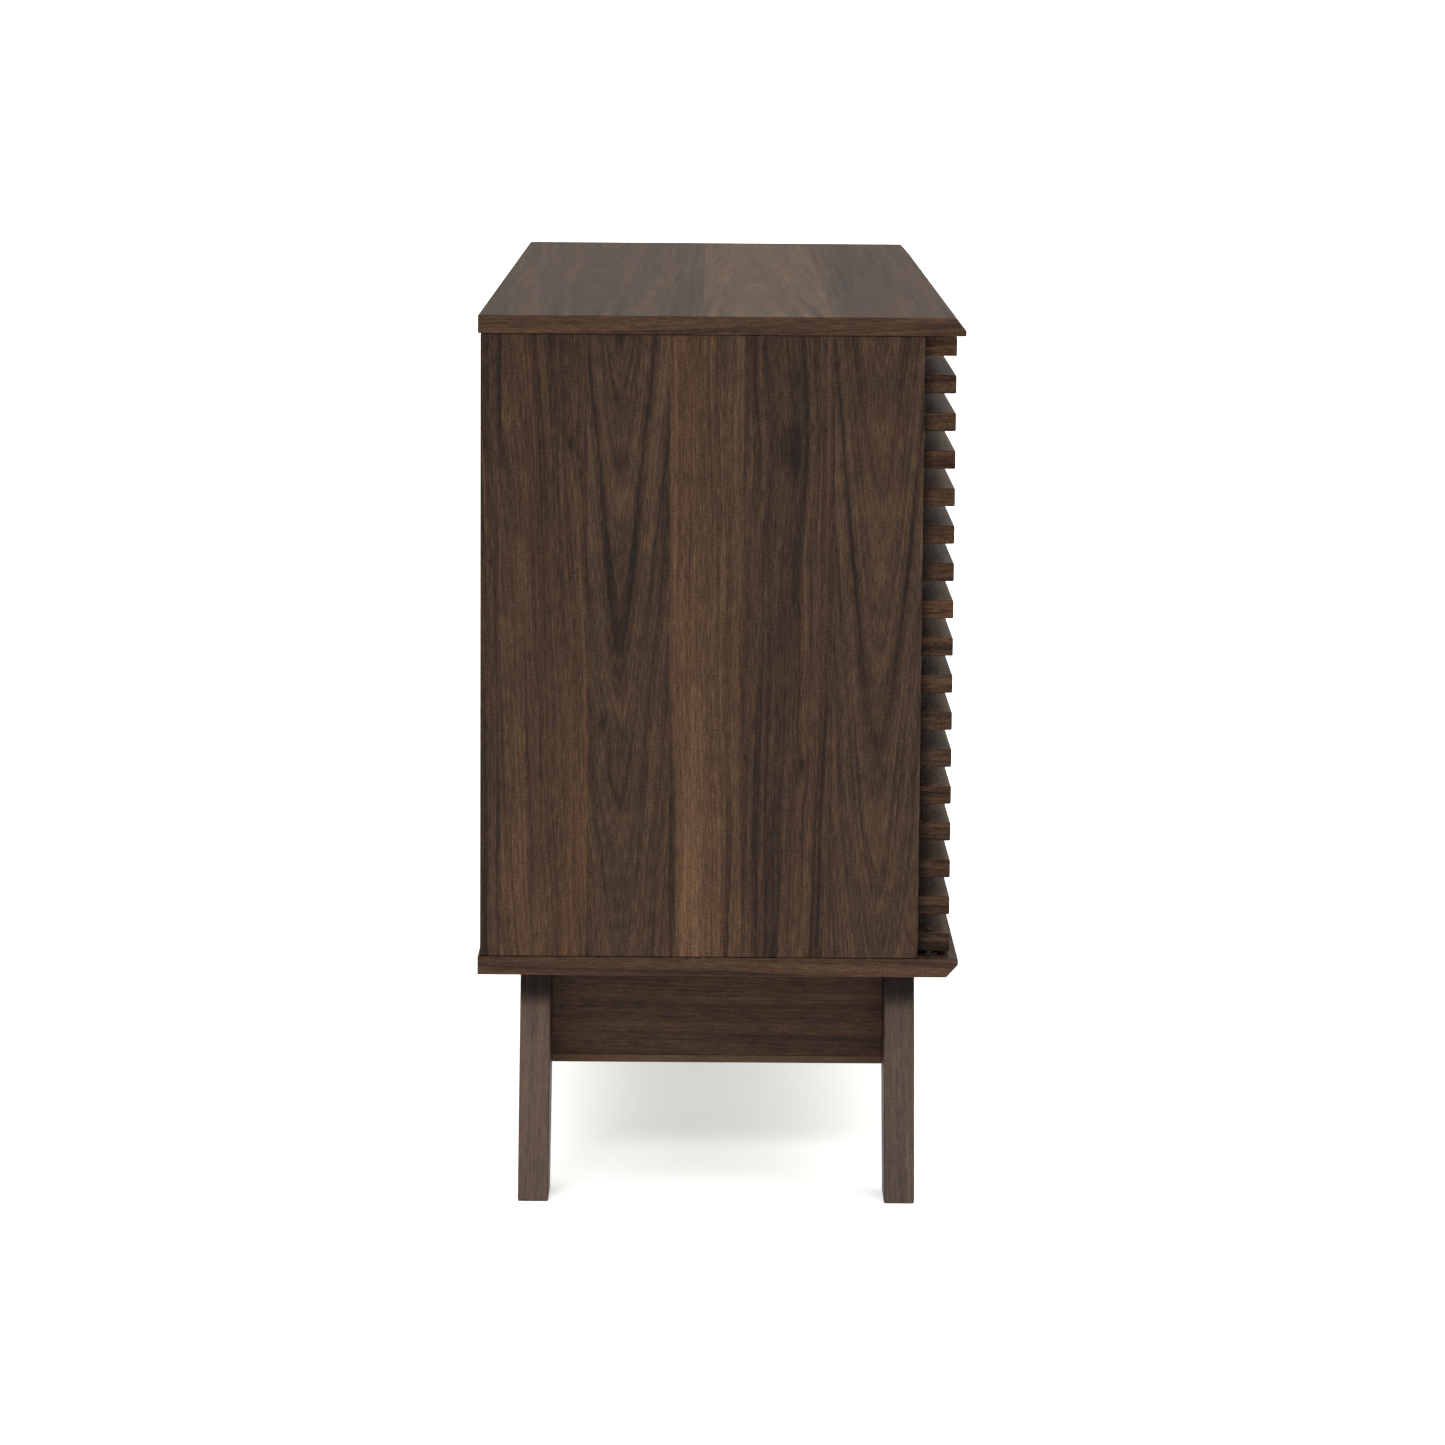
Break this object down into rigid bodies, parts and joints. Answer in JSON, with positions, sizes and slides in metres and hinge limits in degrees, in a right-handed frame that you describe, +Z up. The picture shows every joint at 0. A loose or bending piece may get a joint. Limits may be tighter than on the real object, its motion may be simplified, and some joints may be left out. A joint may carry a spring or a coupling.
{
  "type": "shoe cabinet",
  "caption": "Low wide shoe cabinet on splayed legs, with hinged doors faced in horizontal slats and shelves inside.",
  "frame": {"origin": "on the floor under the middle of the cabinet", "axes": "+X along the width to the right of someone facing the doors, -Y out of the doors, +Z up"},
  "size_m": [1.2, 0.39, 0.723],
  "materials": {
    "board_face": "satin walnut-look foil on board",
    "side_face": "satin walnut-look foil on board",
    "door_face": "satin walnut-look foil on board",
    "slat_face": "satin walnut-look wrap",
    "inside_face": "matt walnut-look foil on board",
    "leg_face": "satin stained wood",
    "pivot_steel": "zinc plated",
    "catch_plastic": "matt moulded"
  },
  "bodies": {
    "carcass": {"top_panel": "board_face", "bottom_panel": "board_face", "side_panel_left": "side_face", "side_panel_right": "side_face", "back_panel": "inside_face", "centre_divider": "inside_face", "shelf_left_lower": "inside_face", "shelf_left_upper": "inside_face", "shelf_right_lower": "inside_face", "shelf_right_upper": "inside_face", "pivot_left_lower": "pivot_steel", "pivot_left_upper": "pivot_steel", "pivot_right_lower": "pivot_steel", "pivot_right_upper": "pivot_steel", "catch_left": "catch_plastic", "catch_right": "catch_plastic", "leg_front_left": "leg_face", "leg_front_right": "leg_face", "leg_back_left": "leg_face", "leg_back_right": "leg_face", "stretcher_left": "leg_face", "stretcher_right": "leg_face", "stretcher_lipping_left": "leg_face", "stretcher_lipping_right": "leg_face"},
    "door_left": {"door_left_panel": "door_face", "door_left_slat_01": "slat_face", "door_left_slat_02": "slat_face", "door_left_slat_03": "slat_face", "door_left_slat_04": "slat_face", "door_left_slat_05": "slat_face", "door_left_slat_06": "slat_face", "door_left_slat_07": "slat_face", "door_left_slat_08": "slat_face", "door_left_slat_09": "slat_face", "door_left_slat_10": "slat_face", "door_left_slat_11": "slat_face", "door_left_slat_12": "slat_face", "door_left_slat_13": "slat_face", "door_left_slat_14": "slat_face", "door_left_slat_15": "slat_face", "door_left_slat_16": "slat_face", "door_left_slat_17": "slat_face"},
    "door_right": {"door_right_panel": "door_face", "door_right_slat_01": "slat_face", "door_right_slat_02": "slat_face", "door_right_slat_03": "slat_face", "door_right_slat_04": "slat_face", "door_right_slat_05": "slat_face", "door_right_slat_06": "slat_face", "door_right_slat_07": "slat_face", "door_right_slat_08": "slat_face", "door_right_slat_09": "slat_face", "door_right_slat_10": "slat_face", "door_right_slat_11": "slat_face", "door_right_slat_12": "slat_face", "door_right_slat_13": "slat_face", "door_right_slat_14": "slat_face", "door_right_slat_15": "slat_face", "door_right_slat_16": "slat_face", "door_right_slat_17": "slat_face"}
  },
  "joints": [
    {"name": "hinge_door_left", "type": "hinge", "parent": "carcass", "child": "door_left", "pos_m": [-0.573, -0.1715, 0.203], "axis": [0, 0, -1], "range_deg": [0, 90]},
    {"name": "hinge_door_right", "type": "hinge", "parent": "carcass", "child": "door_right", "pos_m": [0.573, -0.1715, 0.203], "axis": [0, 0, 1], "range_deg": [0, 90]}
  ]
}
